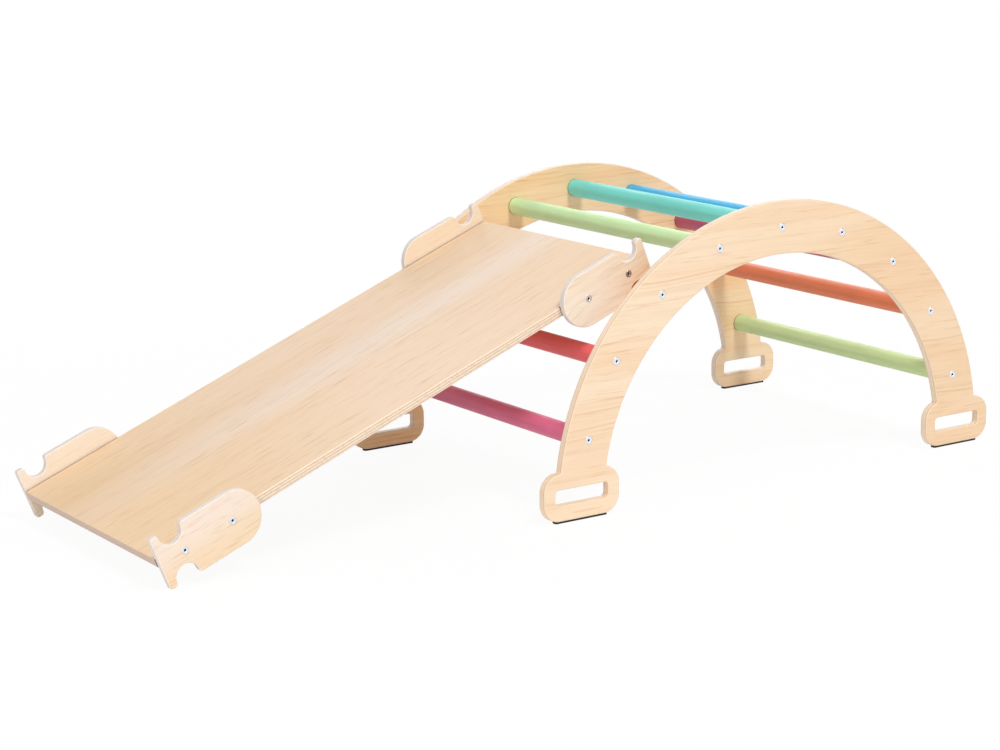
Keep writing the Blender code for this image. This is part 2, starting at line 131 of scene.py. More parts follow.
def addStrip(shell, rings, normals, mark=0.0, flat=False):
    # Quads between two closed rings of indexes, with the normals of both.
    after, leaning = np.roll(rings, -1, axis=1), np.roll(normals, -1, axis=1)
    faces = np.stack([rings[0], after[0], after[1], rings[1]], axis=-1)
    corners = np.stack([normals[0], leaning[0], leaning[1], normals[1]], axis=1)
    addFaces(shell, faces, corners, mark, flat)


def addCap(shell, ring, normal, mark=0.0):
    # A closed ring filled to a point in its middle.
    points = np.concatenate(shell["points"])
    tip = addPoints(shell, points[ring].mean(axis=0)[None])
    faces = np.stack([ring, np.roll(ring, -1), np.broadcast_to(tip, ring.shape)], axis=-1)
    addFaces(shell, faces, np.broadcast_to(normal, faces.shape + (3,)), mark)


def addFlatFace(shell, loops, normal):
    # One flat face inside the first loop of indexes, open inside the others.
    points = np.concatenate(shell["points"])
    triangles = np.array(tessellate_polygon([points[loop].tolist() for loop in loops]))
    faces = np.concatenate(loops)[triangles]
    addFaces(shell, faces, np.broadcast_to(normal, faces.shape + (3,)))


def outlineNormals(outline):
    # Out of an anticlockwise outline. A point's normal is the mean of its two sides' normals, each
    # weighted by its side's length, so that a long straight side keeps its own.
    side = np.roll(outline, -1, axis=0) - outline
    square = np.stack([side[:, 1], -side[:, 0]], axis=1)
    return unit(square + np.roll(square, 1, axis=0))


def addRim(shell, outline, side, thickness, radius, steps):
    # Round edges carried along an outline: at a turn t from the face to the wall, the surface lies
    # radius * (1 - sin t) back from the wall and radius * (1 - cos t) under the face.
    # Side is 1 on an outer outline and -1 on a slot's. Gives the rings, front face to back face.
    outward = side * outlineNormals(outline)
    turn = np.linspace(0.0, quarter, steps + 1)
    turns = np.concatenate([turn, turn[::-1]])
    facing = np.repeat([-1.0, 1.0], steps + 1)
    under = radius * (1 - np.cos(turns))
    depth = np.where(facing < 0, under, thickness - under)
    back = (radius * (1 - np.sin(turns)))[:, None, None]
    flatPoints = outline[None] - outward[None] * back
    level = np.broadcast_to(depth[:, None], flatPoints.shape[:2])
    rings = addPoints(shell, np.stack([flatPoints[..., 0], level, flatPoints[..., 1]], axis=-1))
    leaning = outward[None] * np.sin(turns)[:, None, None]
    rising = np.broadcast_to((facing * np.cos(turns))[:, None], leaning.shape[:2])
    normals = np.stack([leaning[..., 0], rising, leaning[..., 1]], axis=-1)
    for i in range(len(rings) - 1):
        addStrip(shell, rings[i:i + 2], normals[i:i + 2])
    return rings


def ringPoints(radius, depth, steps, centre=(0.0, 0.0), corners=0):
    # A ring about y at a depth. With corners its radius is that of a polygon's corners.
    angle = fullTurn * np.arange(steps) / steps
    if corners:
        apothem = math.cos(half / corners)
        radius = radius * apothem / np.cos(np.mod(angle, fullTurn / corners) - half / corners)
    level = np.full(steps, depth)
    return np.stack([centre[0] + radius * np.cos(angle), level, centre[1] + radius * np.sin(angle)], axis=1)


def ringStack(profile, steps, centre=(0.0, 0.0)):
    # One ring about y for each (radius, depth) pair.
    return np.stack([ringPoints(radius, depth, steps, centre) for radius, depth in profile])


def addTurned(shell, rings, side=1, flat=(), smooth=False, mark=0.0):
    # Strips between rings about y. A normal is the cross product of the step to the next ring and
    # the way round the ring. Side is 1 for a pin and -1 for a hole. Smooth rounds one strip into the next.
    indexes = addPoints(shell, rings)
    around = np.roll(rings, -1, axis=1) - np.roll(rings, 1, axis=1)
    along = rings[1:] - rings[:-1]
    starts = side * unit(np.cross(along, around[:-1]))
    ends = side * unit(np.cross(along, around[1:]))
    if smooth:
        shared = unit(starts[1:] + ends[:-1])
        starts[1:], ends[:-1] = shared, shared
    for i in range(len(along)):
        addStrip(shell, indexes[i:i + 2], np.stack([starts[i], ends[i]]), mark, i in flat)
    return indexes


def arcPoints(centre, radius, start, end, steps):
    # Points on an arc, with both ends.
    angle = np.linspace(start, end, steps + 1)
    return np.stack([centre[0] + radius * np.cos(angle), centre[1] + radius * np.sin(angle)], axis=1)


def closedOutline(parts):
    # One anticlockwise outline from its stretches, without points that repeat.
    outline = np.concatenate(parts)
    gap = np.linalg.norm(outline - np.roll(outline, 1, axis=0), axis=1)
    outline = outline[gap > samePlace]
    after = np.roll(outline, -1, axis=0)
    area = np.sum(outline[:, 0] * after[:, 1] - after[:, 0] * outline[:, 1])
    return outline if area > 0 else outline[::-1]


def roundedRectangle(middle, halfLength, halfHeight, radius, steps):
    # Four arcs, each round its own corner's centre.
    parts = []
    for start, xSide, zSide in ((0.0, 1, 1), (quarter, -1, 1), (half, -1, -1), (-quarter, 1, -1)):
        centre = (middle[0] + xSide * (halfLength - radius), middle[1] + zSide * (halfHeight - radius))
        parts.append(arcPoints(centre, radius, start, start + quarter, steps))
    return closedOutline(parts)


def plateShell(size, thickness, outline, slots=(), holes=()):
    # A plate from its outline, its slots and its holes, each hole its rings and the faces it opens on.
    # Each corner's mark is its normal along the grain, squared: 0 on a face, 1 across cut fibres.
    shell = newShell()
    rims = [addRim(shell, loop, side, thickness, size["edgeRadius"], size["edgeSteps"])
            for side, loop in [(1, outline)] + [(-1, slot) for slot in slots]]
    fronts, backs = [rim[0] for rim in rims], [rim[-1] for rim in rims]
    for rings, opens in holes:
        indexes = addTurned(shell, rings, side=-1)
        if "front" in opens:
            fronts.append(indexes[0])
        else:
            addCap(shell, indexes[0], (0.0, 1.0, 0.0))
        if "back" in opens:
            backs.append(indexes[-1])
        else:
            addCap(shell, indexes[-1], (0.0, -1.0, 0.0))
    addFlatFace(shell, fronts, (0.0, -1.0, 0.0))
    addFlatFace(shell, backs, (0.0, 1.0, 0.0))
    shell["marks"] = [normals[..., 0] ** 2 for normals in shell["normals"]]
    return shell


def headSeat(size, gap=0.0):
    # A countersunk head's (radius, depth) pairs, widened by a gap for the hole that takes it.
    neck = size["rim"] + (size["head"] - size["shank"]) / 2
    edge = size["head"] / 2 + gap
    return [(edge, 0.0), (edge, size["rim"]), (size["shank"] / 2 + gap, neck)]


def makePiece(name, shell, place, body, material, replaced):
    # Puts a shell in its place and into a mesh, with its own normals, and hands it to its body.
    axes, origin = place
    turn = -1 if np.linalg.det(axes) < 0 else 1      # a mirrored place turns the faces round
    faces, normals, marks = ([part[:, ::turn] for part in shell[key]]
                             for key in ("faces", "normals", "marks"))
    used, corners = np.unique(np.concatenate([part.ravel() for part in faces]), return_inverse=True)
    points = (np.concatenate(shell["points"]) @ axes + origin)[used]
    normals = np.concatenate([part.reshape(-1, 3) for part in normals]) @ axes
    marks = np.concatenate([part.ravel() for part in marks])
    counts = np.concatenate([np.full(len(part), part.shape[1]) for part in faces])
    starts = np.concatenate([[0], np.cumsum(counts)[:-1]])

    mesh = bpy.data.meshes.new(name)
    mesh.vertices.add(len(points))
    mesh.vertices.foreach_set("co", points.astype(np.float32).ravel())
    mesh.loops.add(len(corners))
    mesh.loops.foreach_set("vertex_index", corners.astype(np.int32))
    mesh.polygons.add(len(counts))
    mesh.polygons.foreach_set("loop_start", starts.astype(np.int32))
    mesh.update(calc_edges=True)
    mesh.polygons.foreach_set("use_smooth", np.ones(len(counts), bool))
    mesh.attributes.new("mark", "FLOAT", "CORNER").data.foreach_set("value", marks.astype(np.float32))
    mesh.normals_split_custom_set(normals.tolist())
    mesh.materials.append(material)

    piece = bpy.data.objects.new(name, mesh)
    bpy.context.scene.collection.objects.link(piece)
    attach(piece, body)
    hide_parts(replaced)


# Shader nodes. What feeds one is another's output, a number, or a colour as 8-bit red, green and blue.

def linear(colour):
    # An 8-bit sRGB colour as the linear colour that a shader takes.
    share = np.array(colour) / 255
    value = np.where(share <= 0.04045, share / 12.92, ((share + 0.055) / 1.055) ** 2.4)
    return (*value.tolist(), 1.0)


def feed(socket, value):
    # An output is linked, a colour is made linear, and a number is set.
    if isinstance(value, bpy.types.NodeSocket):
        socket.id_data.links.new(value, socket)
    else:
        socket.default_value = linear(value) if isinstance(value, tuple) else value


def addNode(kind, values, **settings):
    # A node beside the first output that feeds it. Values go to its inputs by number or name.
    tree = next(value.id_data for value in values.values() if isinstance(value, bpy.types.NodeSocket))
    made = tree.nodes.new("ShaderNode" + kind)
    for name, setting in settings.items():
        setattr(made, name, setting)
    for place, value in values.items():
        feed(made.inputs[place], value)
    return made


def mathNode(operation, *values):
    # One step of arithmetic.
    return addNode("Math", dict(enumerate(values)), operation=operation).outputs[0]


def times(first, second):
    # The product of two numbers.
    return mathNode("MULTIPLY", first, second)


def apart(first, second):
    # How far apart two numbers are: the size of their difference.
    return mathNode("ABSOLUTE", mathNode("SUBTRACT", first, second))


def mixNode(share, first, second):
    # A colour the share of the way from the first to the second.
    return addNode("Mix", {0: share, 6: first, 7: second}, data_type="RGBA").outputs[2]


def rangeNode(value, low, high, toLow=0.0, toHigh=1.0):
    # From one range to another, eased and clamped.
    ends = dict(enumerate((value, low, high, toLow, toHigh)))
    return addNode("MapRange", ends, interpolation_type="SMOOTHSTEP").outputs[0]


def shareNode(value, look, kind):
    # Nothing under a kind's range, rising to its share above it.
    return rangeNode(value, *look[kind + "Range"], 0.0, look.get(kind + "Share", 1.0))


def scaled(lengths, scales):
    # Each length times its own scale.
    return [times(length, scale) for length, scale in zip(lengths, scales)]


def pointNode(parts):
    # The point that three numbers give.
    return addNode("CombineXYZ", dict(enumerate(parts))).outputs[0]


def noiseNode(place, detail, roughness, scale=1.0):
    # Smooth noise about 0.5, with one swell for each unit of the place times the scale.
    values = {"Vector": place, "Scale": scale, "Detail": detail, "Roughness": roughness}
    return addNode("TexNoise", values).outputs[0]


def whiteNoise(value):
    # One chance number for each whole number.
    return addNode("TexWhiteNoise", {"W": value}, noise_dimensions="1D").outputs["Value"]


def curveNode(value, stops):
    # A number from 0 to 1 through (position, height) stops.
    made = addNode("ValToRGB", {0: value})
    elements = made.color_ramp.elements
    while len(elements) < len(stops):
        elements.new(0.5)
    for element, (position, height) in zip(elements, stops):
        element.position = position
        element.color = (height, height, height, 1.0)
    return made.outputs[0]


def objectCoordinates(tree):
    # Metres from the object's origin, which is the frame's own.
    return tree.nodes.new("ShaderNodeTexCoord").outputs["Object"]


def localCoordinates(tree, origin, tilt):
    # Object coordinates from a piece's own origin, x up its slope, split into their three lengths.
    mapping = addNode("Mapping", {"Vector": objectCoordinates(tree)}, vector_type="TEXTURE")
    mapping.inputs["Location"].default_value = origin
    mapping.inputs["Rotation"].default_value = (0.0, -tilt, 0.0)
    return addNode("SeparateXYZ", {0: mapping.outputs["Vector"]}).outputs


def markOutput(tree):
    # The mark that the mesh's corners carry.
    attribute = tree.nodes.new("ShaderNodeAttribute")
    attribute.attribute_name = "mark"
    return attribute.outputs["Fac"]


def newMaterial(name):
    # A material with its node tree and its shader.
    material = bpy.data.materials.new(name)
    material.use_nodes = True
    return material, material.node_tree, material.node_tree.nodes["Principled BSDF"]


bulk = (0.3, 0.7)                            # most of a noise lies between these


def finishSurface(shader, look, colour, height, rough):
    # Colour, a roughness that follows one noise, and a bump that follows a height.
    strength, distance = look["bump"]
    bump = addNode("Bump", {"Strength": strength, "Distance": distance, "Height": height})
    feed(shader.inputs["Base Color"], colour)
    feed(shader.inputs["Roughness"], rangeNode(rough, *bulk, *look["roughness"]))
    feed(shader.inputs["Normal"], bump.outputs["Normal"])


# Plywood. Each noise has its seed's step, detail and roughness here, and in a look its scale along and
# across the grain, per metre, the range over which it shows, and its share of the tone.

woodNoises = {
    "bend": (0.0, 2.0, 0.45), "fade": (2.2, 2.0, 0.5), "patch": (3.1, 3.0, 0.6), "fleck": (4.4, 2.0, 0.55),
    "fibre": (5.7, 4.0, 0.65), "streak": (8.3, 3.0, 0.6), "tone": (11.9, 2.0, 0.5),
}
growthTooth = ((0.0, 0.0), (0.40, 0.05), (0.78, 0.45), (0.92, 1.0), (1.0, 0.0))    # pale, then a dark line
ringSpread = 7.0                             # keeps one piece's rings apart from another's
plyLook = {
    "fleck": (220, 170, 116), "glue": (190, 158, 132), "endTone": (198, 170, 154), "endRim": (206, 172, 130),
    "lines": 118.0, "bend": 12.0, "bendScale": (1.5, 6.0), "faintRings": 0.1, "lineShare": 0.80,
    "fadeScale": (6.0, 60.0), "fadeRange": (0.36, 0.58),
    "patchScale": (1.9, 11.0), "patchRange": (0.42, 0.62),
    "toneScale": (1.4, 12.0), "toneRange": (0.36, 0.64),
    "streakScale": (2.2, 110.0), "streakRange": (0.46, 0.74), "streakShare": 0.20,
    "fibreScale": (9.0, 620.0), "fibreRange": (0.46, 0.76), "fibreShare": 0.16,
    "fleckScale": (14.0, 260.0), "fleckRange": (0.56, 0.74), "fleckShare": 0.35,
    "plies": 9, "endShare": 0.0,             # endShare: of endTone and endRim across cut fibres
    "gritScale": (160.0, 420.0, 160.0), "gritNoise": (3.0, 0.7), "gritRange": (0.45, 0.75),
    "gritShare": 0.35,
    "glueRange": (0.38, 0.48), "glueShare": 0.40,    # from the middle of a ply, where 0.5 is its seam
    "faceDepth": (0.05, 0.25), "rimDepth": 1.1, "rimSoft": (-0.25, 0.15),    # mm under the face
    "seamWidth": 0.5, "seamSoft": 0.4, "seamShare": 0.5,    # mm past the rim
    "roughness": (0.47, 0.58), "fibreHeight": 0.6, "lineHeight": -0.8, "bump": (0.35, 0.12 * mm),
}


def faceVeneer(look, along, across, tone, warmth):
    # The face's tone: pale and warm patches, then another pair of tones where the climb along and across the
    # piece is high, and on the board a darker head and a pale band of painted sheen along the grain.
    face = mixNode(warmth, look["pale"], look["warm"])
    # the upper tones; on the upper front bracket they are painted shade beside the panel
    if "upper" in look:
        upper = mixNode(warmth, look["upper"], look["upperWarm"])
        climb = mathNode("MULTIPLY_ADD", tone, look["drift"], -0.5 * look["drift"])
        for direction, rise in zip((along, across), look["climb"]):
            climb = mathNode("MULTIPLY_ADD", direction, rise, climb)
        face = mixNode(rangeNode(climb, *look["upperRange"]), face, upper)
    # a pale band of painted sheen along the grain, winding with the tone and growing up the board
    if "band" in look:
        face = mixNode(rangeNode(along, *look["headRange"]), face, look["head"])
        fromMiddle = mathNode("SUBTRACT", across, look["bandMiddle"] + look["bandDrift"] / 2)
        beside = mathNode("MULTIPLY_ADD", tone, look["bandDrift"], fromMiddle)
        within = rangeNode(mathNode("ABSOLUTE", beside), look["bandHalf"], 0.0)
        grown = rangeNode(along, *look["bandRange"], *look["bandShares"])
        face = mixNode(times(within, grown), face, look["band"])
    return face


def cutEdge(look, lengths, through, thickness, endGrain):
    # Gives how deep under a face a point lies, in mm, and the edge's colour there. Plies alternate: every
    # other one shows its cut fibres where its neighbours show their length, with glue in the seams.
    level = mathNode("ADD", mathNode("DIVIDE", through, thickness), 0.5)
    counted = times(level, look["plies"])
    odd = mathNode("MODULO", mathNode("FLOOR", counted), 2.0)
    edge = mixNode(apart(odd, endGrain), look["longPly"], look["endPly"])
    grit = noiseNode(pointNode(scaled(lengths, look["gritScale"])), *look["gritNoise"])
    edge = mixNode(shareNode(grit, look, "grit"), edge, look["glue"])
    seam = apart(mathNode("FRACT", counted), 0.5)
    edge = mixNode(shareNode(seam, look, "glue"), edge, look["glue"])
    depth = times(mathNode("SUBTRACT", 0.5, apart(level, 0.5)), thickness / mm)
    ends = times(endGrain, look["endShare"])
    edge = mixNode(ends, edge, look["endTone"])

    # The face veneer's own cut shows as a rim, with a wider seam behind it
    rimDepth, (rimFrom, rimTo) = look["rimDepth"], look["rimSoft"]
    seamDepth = rimDepth + look["seamWidth"]
    firstSeam = rangeNode(depth, seamDepth + look["seamSoft"], seamDepth, 0.0, look["seamShare"])
    edge = mixNode(firstSeam, edge, look["glue"])
    inside = rangeNode(depth, rimDepth + rimFrom, rimDepth + rimTo)
    return depth, mixNode(inside, mixNode(ends, look["rim"], look["endRim"]), edge)


def plywood(name, look, origin, tilt, flatWise, thickness):
    # Plywood: a peeled face veneer with its grain along x, and the plies that show on a cut edge.
    material, tree, shader = newMaterial(name)
    x, y, z = localCoordinates(tree, origin, tilt)
    along, across, through = (x, y, z) if flatWise else (x, z, y)
    noise = {}
    for kind, (step, detail, roughness) in woodNoises.items():
        parts = scaled((along, across), look[kind + "Scale"]) + [look["seed"] + step]
        noise[kind] = noiseNode(pointNode(parts), detail, roughness)
    shown = {kind: shareNode(noise[kind], look, kind) for kind in noise if kind != "bend"}

    # Growth lines: the distance across the grain, bent by a slow noise, counted and cut into saw teeth.
    # Each line has its own strength, and fades in and out along its length.
    bent = mathNode("MULTIPLY_ADD", noise["bend"], look["bend"], times(across, look["lines"]))
    line = curveNode(mathNode("FRACT", bent), growthTooth)
    own = whiteNoise(mathNode("ADD", mathNode("FLOOR", bent), look["seed"] * ringSpread))
    for share in (rangeNode(own, look["faintRings"], 1.0), shown["fade"], shown["patch"], look["lineShare"]):
        line = times(line, share)

    face = faceVeneer(look, along, across, noise["tone"], shown["tone"])
    for share, colour in ((shown["streak"], "line"), (shown["fibre"], "line"), (shown["fleck"], "fleck"),
                          (line, "line")):
        face = mixNode(share, face, look[colour])
    depth, edge = cutEdge(look, (x, y, z), through, thickness, markOutput(tree))
    wood = mixNode(rangeNode(depth, *look["faceDepth"]), face, edge)
    if "gapShade" in look:                      # painted shade in the gap beside the brackets
        beside = rangeNode(mathNode("ABSOLUTE", y), look["gapShadeFrom"], look["gapShadeFrom"] + look["gapShadeSoft"])
        reach, fade = look["gapShadeEnds"], look["gapShadeFade"]
        ends = rangeNode(apart(x, look["gapShadeMiddle"]), reach - fade, reach + fade)
        wood = mixNode(times(beside, ends), wood, look["gapShade"])

    # Matt lacquer that leaves the fibres standing and the lines sunk a little
    height = mathNode("ADD", times(noise["fibre"], look["fibreHeight"]), times(line, look["lineHeight"]))
    finishSurface(shader, look, wood, height, noise["fibre"])
    return material


# Camera, lights and floor

cameraLook = {
    "place": (-2.3978, -3.5107, 1.1286),
    "turn": math.radians(33.9315),           # from +Y towards +X
    "dip": math.radians(12.5797),            # below level
    "roll": math.radians(-0.7179),
    "lens": 88.595, "sensor": 36.0,          # mm
    "farthest": 100.0,
}


def placed(data, axes, place):
    # A camera or lamp at a place, its own x, y and z along three axes.
    made = bpy.data.objects.new(data.name, data)
    matrix = np.eye(4)
    matrix[:3, :3] = np.stack(axes, axis=1)
    matrix[:3, 3] = place
    made.matrix_world = Matrix(matrix.tolist())
    bpy.context.scene.collection.objects.link(made)
    return made


def addCamera(look):
    # Right is level, up is square to right and forward, and both then roll about forward.
    turn, dip, roll = look["turn"], look["dip"], look["roll"]
    forward = np.array((math.sin(turn) * math.cos(dip), math.cos(turn) * math.cos(dip), -math.sin(dip)))
    level = np.array((math.cos(turn), -math.sin(turn), 0.0))
    upright = np.cross(level, forward)
    right = level * math.cos(roll) + upright * math.sin(roll)
    up = upright * math.cos(roll) - level * math.sin(roll)
    data = bpy.data.cameras.new("photo_angle")
    data.lens, data.sensor_width, data.clip_end = look["lens"], look["sensor"], look["farthest"]
    bpy.context.scene.camera = placed(data, (right, up, -forward), look["place"])


lightLook = {
    "sky": 0.40,                             # strength of the white surroundings on the object
    "aim": (0.1, 0.0, 0.25),
    "boxes": (                               # softboxes: place, width, height, watts
        ((0.44, -3.95, 6.90), 1.9, 1.9, 322.0),
        ((-3.60, -1.30, 1.70), 3.0, 2.4, 46.0),
        ((2.60, 3.20, 2.40), 2.4, 1.8, 40.0),
    ),
}


def seenDirectly(tree):
    # 1 where the camera, a reflection or a clear material looks, 0 where light is gathered.
    path = tree.nodes.new("ShaderNodeLightPath")
    looked = mathNode("MAXIMUM", path.outputs["Is Camera Ray"], path.outputs["Is Glossy Ray"])
    return mathNode("MAXIMUM", looked, path.outputs["Is Transmission Ray"])


def addLights(look):
    # White surroundings, and softboxes that each look along the line from their place to the aim.
    world = bpy.data.worlds.new("studio")
    world.use_nodes = True
    bpy.context.scene.world = world
    background = world.node_tree.nodes["Background"]
    background.inputs["Color"].default_value = (1.0, 1.0, 1.0, 1.0)
    seen = seenDirectly(world.node_tree)
    feed(background.inputs["Strength"], mathNode("MULTIPLY_ADD", seen, 1.0 - look["sky"], look["sky"]))
    for number, (place, width, height, watts) in enumerate(look["boxes"], start=1):
        data = bpy.data.lights.new("softbox_%d" % number, "AREA")
        data.shape = "RECTANGLE"
        data.size, data.size_y, data.energy = width, height, watts
        back = unit(np.array(place) - np.array(look["aim"]))
        side = unit(np.cross((0.0, 0.0, 1.0), back))
        placed(data, (side, np.cross(back, side), back), place)


floorLook = {
    "halfSize": 40.0, "drop": 0.2 * mm, "colour": (244, 244, 244), "roughness": 0.9,
    "glowShare": 0.94,                       # beside the object, so that its shadow stays soft
    "whiteRange": (0.7, 2.6),                # metres from the origin, where the sheet turns plain white
}


def addFloor(look):
    # A white sheet that looks part lit and part plain white, so the shadow on it stays soft.
    size, low = look["halfSize"], -look["drop"]
    corners = [(-size, -size, low), (size, -size, low), (size, size, low), (-size, size, low)]
    mesh = bpy.data.meshes.new("floor")
    mesh.from_pydata(corners, [], [(0, 1, 2, 3)])
    material, tree, shader = newMaterial("white_sheet")
    feed(shader.inputs["Base Color"], look["colour"])
    feed(shader.inputs["Roughness"], look["roughness"])
    glow = tree.nodes.new("ShaderNodeEmission")
    length = addNode("VectorMath", {0: objectCoordinates(tree)}, operation="LENGTH")
    plain = rangeNode(length.outputs["Value"], *look["whiteRange"], look["glowShare"], 1.0)
    share = times(seenDirectly(tree), plain)
    blend = addNode("MixShader", {0: share, 1: shader.outputs[0], 2: glow.outputs[0]})
    feed(tree.nodes["Material Output"].inputs["Surface"], blend.outputs[0])
    mesh.materials.append(material)
    floor = bpy.data.objects.new("floor", mesh)
    bpy.context.scene.collection.objects.link(floor)


bpy.context.scene.view_settings.view_transform = "Standard"
addCamera(cameraLook)
addLights(lightLook)
addFloor(floorLook)
print("camera, lights and floor are set")


# Fasteners: countersunk screws with a hexagon socket, zinc plated

rungScrew = {
    "head": 14.0 * mm, "rim": 0.6 * mm, "shank": 7.0 * mm, "length": 50.0 * mm,
    "socket": 4.6 * mm, "socketDepth": 2.6 * mm, "pitch": 1.5 * mm,
}
rampScrew = {
    "head": 12.0 * mm, "rim": 0.5 * mm, "shank": 6.0 * mm, "length": 50.0 * mm,
    "socket": 4.6 * mm, "socketDepth": 2.4 * mm, "pitch": 1.3 * mm,
}
screwLook = {
    "chamfer": 0.25 * mm, "steps": 48, "threadDepth": 0.45 * mm, "threadStart": 16.0 * mm, "turnsRings": 4,
    "tipTaper": 0.35, "tipTurns": 2,
    # socketShade: painted shade and reflection inside the hexagon socket
    "zinc": (243, 246, 250), "shade": (206, 212, 220), "socketShade": (58, 88, 120),
    "cloudScale": 900.0, "cloudNoise": (3.0, 0.6), "cloudRange": (0.4, 0.75),
    "roughness": (0.28, 0.46), "bump": (0.2, 0.03 * mm),
}


def joinRings(shell, kept, dropped):
    # Two rings at one place become one: faces on the dropped ring use the kept one's points.
    renamed = np.arange(shell["count"])
    renamed[dropped] = kept
    shell["faces"] = [renamed[faces] for faces in shell["faces"]]


def screwShell(size, look):
    # From the socket's floor up its walls, over the head, down the cone and along the thread, whose
    # radius falls by a triangle wave of distance over pitch less the part of a turn.
    shell = newShell()
    steps, chamfer, start, length = look["steps"], look["chamfer"], look["threadStart"], size["length"]
    socket, head, shank, pitch = size["socket"] / 2, size["head"] / 2, size["shank"] / 2, size["pitch"]
    depths = (size["socketDepth"], chamfer)
    inner = np.stack([ringPoints(socket, depth, steps, corners=6) for depth in depths])
    # mark 1 on the socket's faces, which take the painted shade
    walls = addTurned(shell, inner, flat=(0,), mark=1.0)
    addCap(shell, walls[0], (0.0, -1.0, 0.0), mark=1.0)
    pairs = [(socket + chamfer, 0.0), (head - chamfer, 0.0), (head, chamfer)]
    outer = addTurned(shell, ringStack(pairs + headSeat(size)[1:] + [(shank, start)], steps))
    slanted = unit(np.concatenate(shell["points"])[walls[-1]] * (-1.0, 0.0, -1.0)) + (0.0, -1.0, 0.0)
    addStrip(shell, np.stack([walls[-1], outer[0]]), np.stack([unit(slanted)] * 2))

    count = int((length - start) / pitch * look["turnsRings"])
    depth = np.linspace(start, length, count + 1)[:, None]
    angle = fullTurn * np.arange(steps) / steps
    wave = np.abs(np.mod(depth / pitch - angle / fullTurn, 1.0) * 2 - 1)
    ends = np.clip(np.minimum(depth - start, length - depth) / pitch, 0.0, 1.0)
    tip = 1 - look["tipTaper"] * np.clip(1 - (length - depth) / (look["tipTurns"] * pitch), 0.0, 1.0)
    radius = (shank - look["threadDepth"] * wave * ends) * tip
    level = np.broadcast_to(depth, radius.shape)
    rings = np.stack([radius * np.cos(angle), level, radius * np.sin(angle)], axis=-1)
    thread = addTurned(shell, rings, smooth=True)
    addCap(shell, thread[-1], (0.0, 1.0, 0.0))
    joinRings(shell, outer[-1], thread[0])
    return shell


def zincMaterial(name, look):
    # Bright plating with faint turning marks, and a socket painted dark blue for the shade and reflection
    # inside it.
    material, tree, shader = newMaterial(name)
    cloud = noiseNode(objectCoordinates(tree), *look["cloudNoise"], look["cloudScale"])
    colour = mixNode(shareNode(cloud, look, "cloud"), look["zinc"], look["shade"])
    # the socket's faces take painted shade and reflection
    colour = mixNode(markOutput(tree), colour, look["socketShade"])
    feed(shader.inputs["Metallic"], 1.0)
    finishSurface(shader, look, colour, cloud, cloud)
    return material


# Side panels: a half-round band on two feet

panel = {
    "outerRadius": 475.0 * mm, "bandWidth": 92.5 * mm, "centreHeight": 20.0 * mm,
    "footSpread": 855.0 * mm, "footLength": 154.0 * mm, "footTop": 84.5 * mm, "footBottom": 3.3 * mm,
    "footCorner": 31.0 * mm, "filletReach": 4.0 * mm,
    "slotHeight": 26.5 * mm, "slotCorner": 7.0 * mm, "slotEndWall": 23.5 * mm,
    "edgeRadius": 2.2 * mm, "edgeSteps": 5, "arcSteps": 96, "cornerSteps": 14, "filletSteps": 6,
    "slotSteps": 7, "rungSocketDepth": 5.0 * mm,
    "trials": 20001,                         # places tried for where the band meets a foot
}
panelWoods = {
    "front": dict(
        plyLook, seed=2.0, pale=(254, 230, 200), warm=(252, 220, 186), line=(222, 174, 118),
        upper=(252, 224, 190), upperWarm=(249, 214, 176), upperRange=(-0.35, 0.35), drift=0.1,
        # endTone and endRim lighten the edges across cut fibres: painted light bounced from the floor
        climb=(1.0, 0.0), longPly=(243, 221, 196), endPly=(231, 207, 181), endTone=(254, 232, 206),
        endShare=0.5, rim=(246, 218, 186), endRim=(250, 224, 192), rimDepth=1.4, seamWidth=1.2,
    ),
    "back": dict(
        # its tones are warmer than the front panel's: painted warm light bounced from the wood around it
        plyLook, seed=17.0, pale=(255, 234, 202), warm=(255, 224, 184), line=(222, 152, 98), lineShare=0.95,
        upper=(255, 225, 181), upperWarm=(255, 211, 158), upperRange=(-0.31, -0.24), drift=0.03,
        climb=(-0.3, 1.0), longPly=(252, 232, 212), endPly=(240, 218, 198), rim=(238, 222, 208),
    ),
}


def footTopAt(x, size):
    # The height of a foot's upper outline at x: flat, with a quarter round at each end.
    past = np.abs(x - size["footSpread"] / 2) - (size["footLength"] / 2 - size["footCorner"])
    past = np.clip(past, 0.0, size["footCorner"])
    return size["footTop"] - size["footCorner"] + np.sqrt(size["footCorner"] ** 2 - past ** 2)


def shoulder(radius, side, size):
    # Where an arc of the band comes down to the foot: its last angle, a fillet drawn towards the
    # corner between the two, and the angle at which the foot's corner starts. Side is 1 outside, -1 inside.
    middle, reach = size["footSpread"] / 2, size["filletReach"]
    x = np.linspace(middle - size["footLength"] / 2, middle + size["footLength"] / 2, size["trials"])
    x = x[x < radius]
    above = size["centreHeight"] + np.sqrt(radius ** 2 - x ** 2) - footTopAt(x, size)
    x = x[np.nonzero(above > 0)[0][-1]]
    corner = np.array((x, footTopAt(x, size)))
    turn = math.atan2(corner[1] - size["centreHeight"], x) + reach / radius
    start = arcPoints((0.0, size["centreHeight"]), radius, turn, turn, 1)[0]
    end = np.array((x + side * reach, footTopAt(x + side * reach, size)))
    share = np.linspace(0.0, 1.0, size["filletSteps"] + 1)[1:, None]
    fillet = (1 - share) ** 2 * start + 2 * share * (1 - share) * corner + share ** 2 * end
    past = side * (end[0] - middle) - (size["footLength"] / 2 - size["footCorner"])
    return turn, fillet, math.acos(min(max(past / size["footCorner"], 0.0), 1.0))


